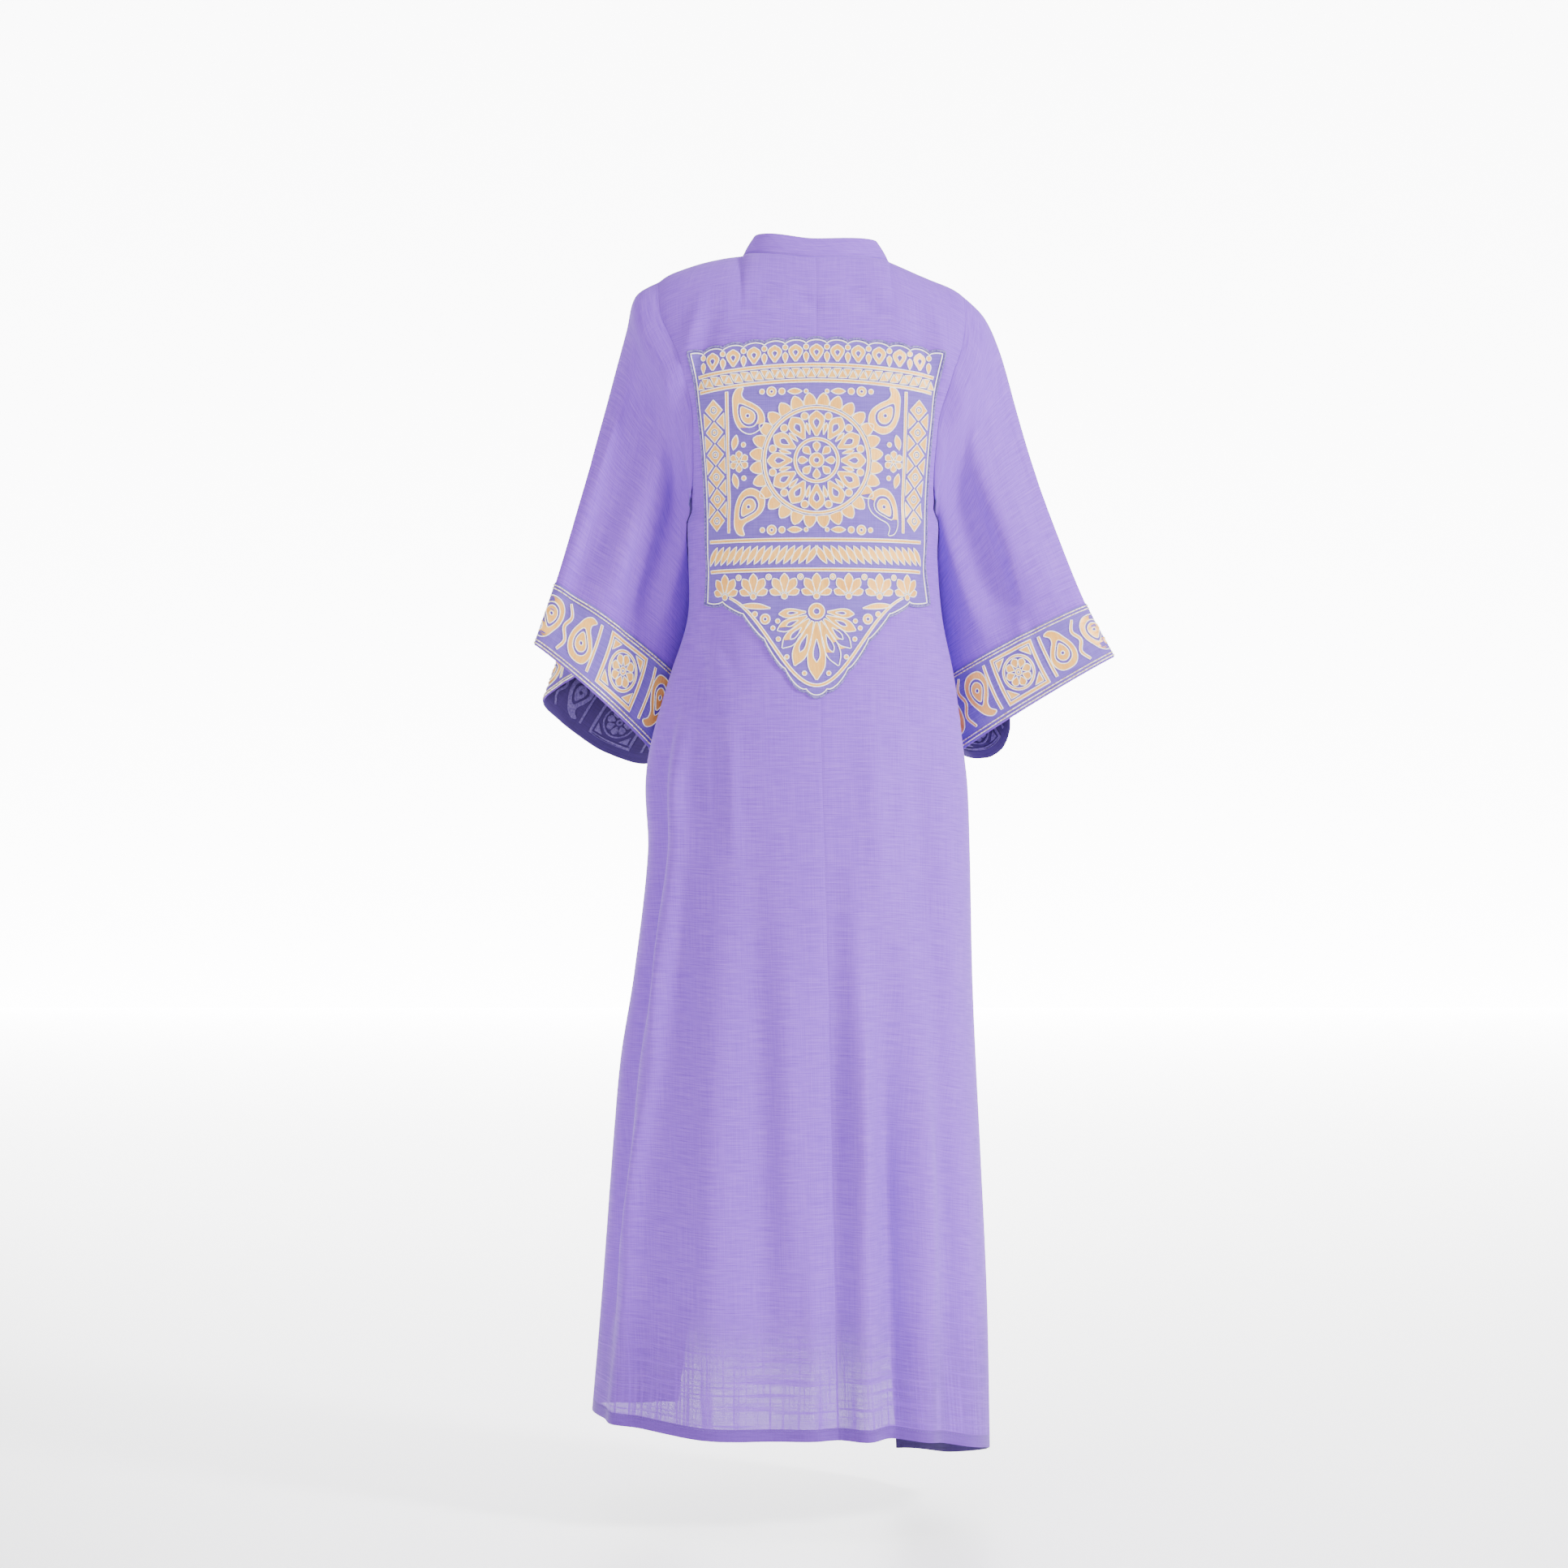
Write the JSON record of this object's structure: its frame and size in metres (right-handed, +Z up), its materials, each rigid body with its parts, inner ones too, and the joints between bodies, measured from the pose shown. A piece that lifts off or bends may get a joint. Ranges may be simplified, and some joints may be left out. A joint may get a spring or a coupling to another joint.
{
  "type": "jalabiya",
  "caption": "Long open-fronted lilac slub-weave robe with a low stand collar, wide three-quarter sleeves, and a gold embroidered back patch and cuff bands, in its worn hollow shape.",
  "frame": {"origin": "the middle of the neck opening, level with the shoulder points that hold the robe up", "axes": "+X to the wearer's left, +Y to the wearer's back, +Z up towards the collar"},
  "size_m": [0.7184, 0.3338, 1.5274],
  "materials": {
    "cloth": "matt slub weave",
    "embroidery": "satin metallic thread"
  },
  "bodies": {
    "root": {"back_left": "cloth", "back_right": "cloth", "front_left": "cloth", "front_right": "cloth", "sleeve_left": "cloth", "sleeve_right": "cloth", "stand_collar": "cloth", "cuff_band_left": "embroidery", "cuff_band_right": "embroidery", "back_patch": "embroidery"}
  },
  "joints": []
}
